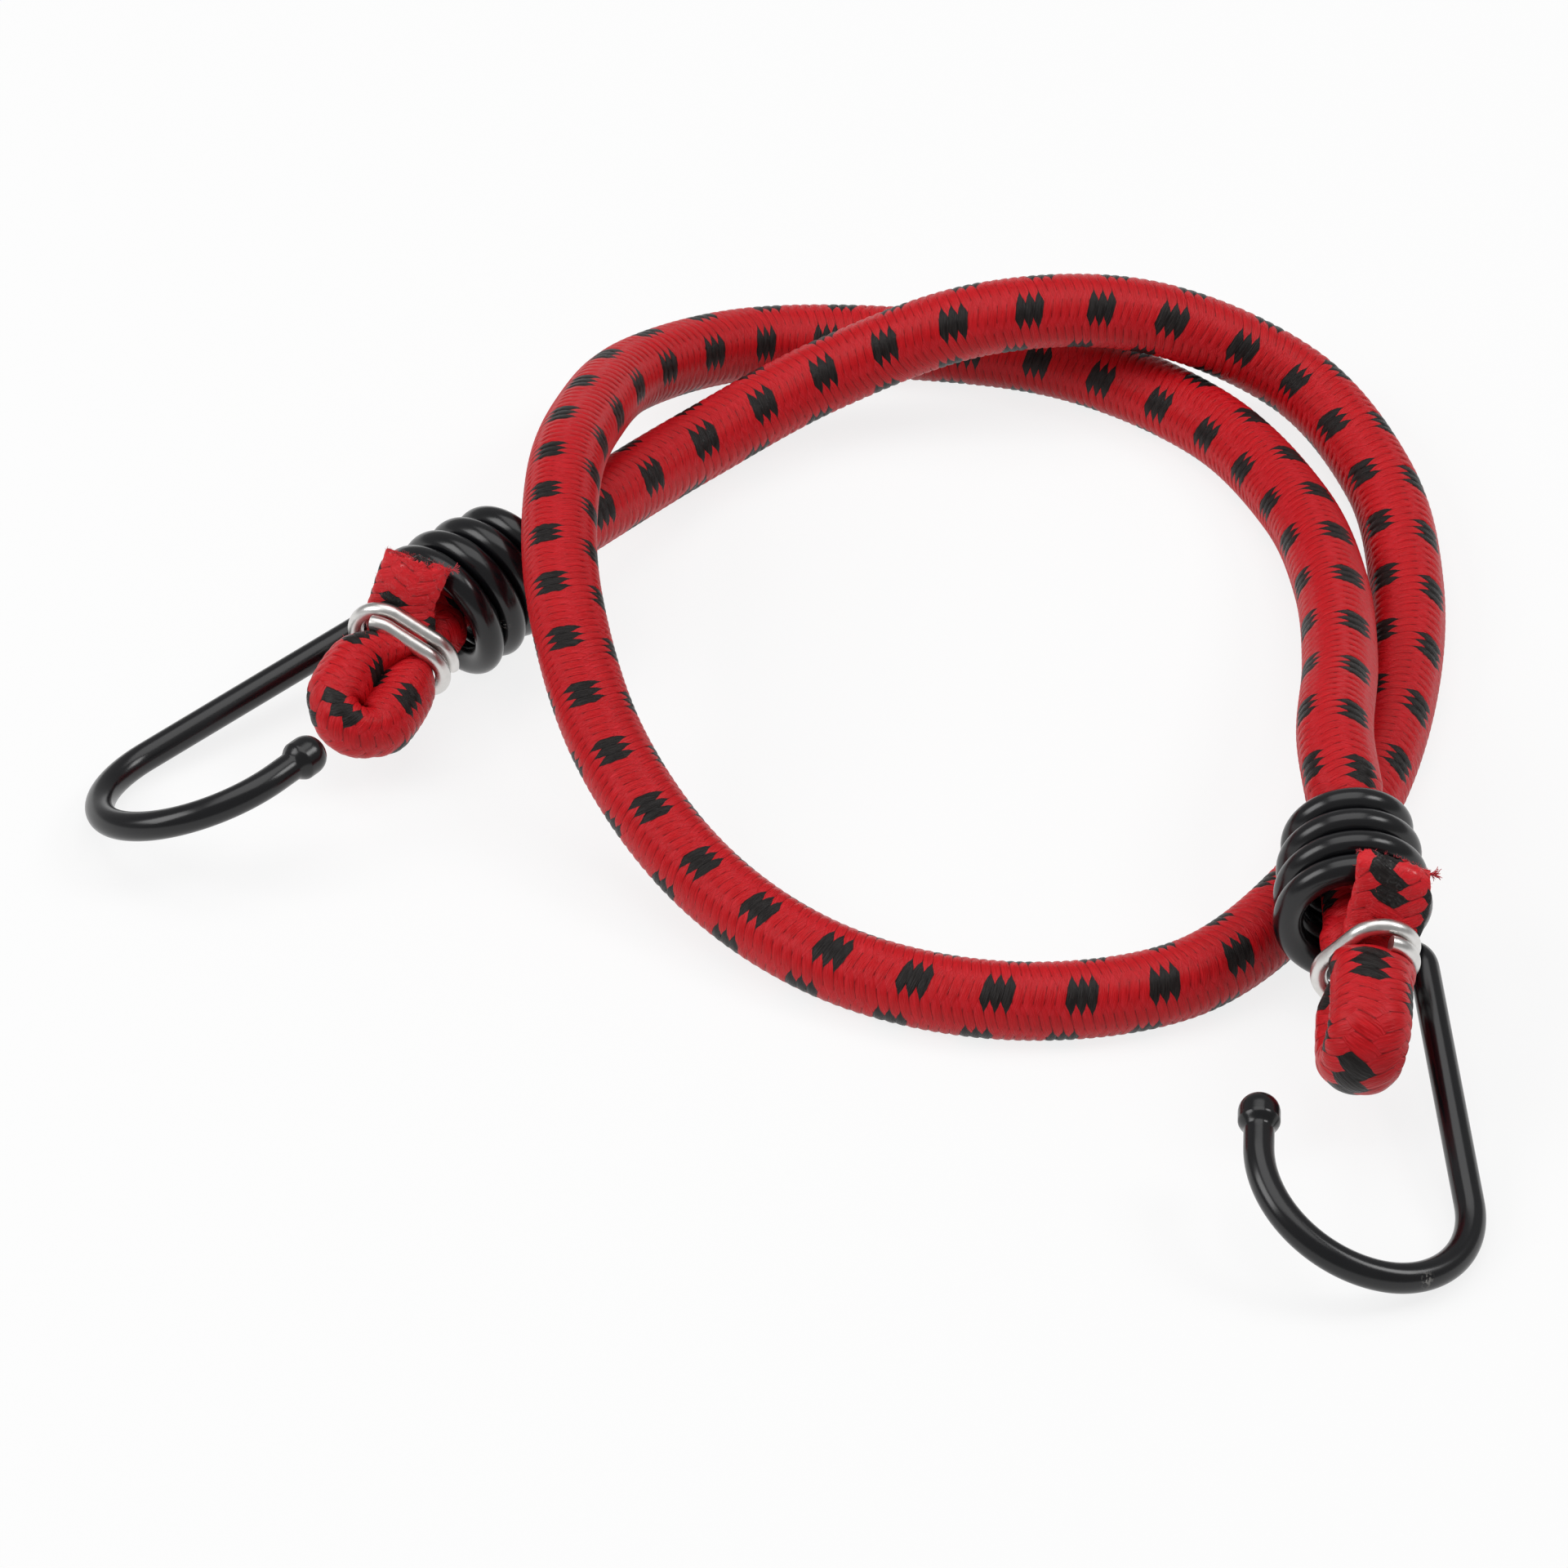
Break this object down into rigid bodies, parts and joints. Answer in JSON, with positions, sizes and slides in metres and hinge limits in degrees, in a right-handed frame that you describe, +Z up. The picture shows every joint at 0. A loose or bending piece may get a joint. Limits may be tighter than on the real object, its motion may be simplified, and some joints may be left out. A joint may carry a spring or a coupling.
{
  "type": "bungee cord",
  "caption": "Braided elastic luggage cord lying in a loose loop, with a coiled, coated wire hook at each folded and clamped end.",
  "frame": {"origin": "on the floor under the middle of the whole part's box", "axes": "+Z up, +X to the right and +Y away from the camera of the picture"},
  "size_m": [0.1439, 0.1611, 0.0235],
  "materials": {
    "braid": "braided polyester yarn, red with black marks",
    "rubber": "natural rubber thread",
    "coating": "glossy black dipped plastic",
    "steel": "drawn steel wire",
    "zinc": "galvanised wire"
  },
  "bodies": {
    "cord": {"braided_sheath": "braid", "rubber_thread_1": "rubber", "rubber_thread_2": "rubber", "rubber_thread_3": "rubber", "rubber_thread_4": "rubber", "rubber_thread_5": "rubber", "rubber_thread_6": "rubber", "rubber_thread_7": "rubber"},
    "end_1": {"clamp_1": "zinc"},
    "hook_1": {"hook_1_coating": "coating", "hook_1_wire": "steel"},
    "end_2": {"clamp_2": "zinc"},
    "hook_2": {"hook_2_coating": "coating", "hook_2_wire": "steel"}
  },
  "joints": [
    {"name": "stretch_1", "type": "slide", "parent": "cord", "child": "end_1", "axis": [-0.7071, -0.7071, 0], "range_m": [0, 0.04], "stiffness_N_per_m": 500, "deforming": ["braided_sheath", "rubber_thread_1", "rubber_thread_2", "rubber_thread_3", "rubber_thread_4", "rubber_thread_5", "rubber_thread_6", "rubber_thread_7"]},
    {"name": "swivel_1", "type": "hinge", "parent": "end_1", "child": "hook_1", "pos_m": [-0.0263, 0.0289, 0.00984], "axis": [-0.7044, -0.7044, -0.0872], "range_deg": [-50, 95]},
    {"name": "stretch_2", "type": "slide", "parent": "cord", "child": "end_2", "axis": [0, -1, 0], "range_m": [0, 0.04], "stiffness_N_per_m": 500, "deforming": ["braided_sheath", "rubber_thread_1", "rubber_thread_2", "rubber_thread_3", "rubber_thread_4", "rubber_thread_5", "rubber_thread_6", "rubber_thread_7"]},
    {"name": "swivel_2", "type": "hinge", "parent": "end_2", "child": "hook_2", "pos_m": [0.0592, -0.0224, 0.01368], "axis": [0, -0.9877, -0.1564], "range_deg": [-95, 30]}
  ]
}
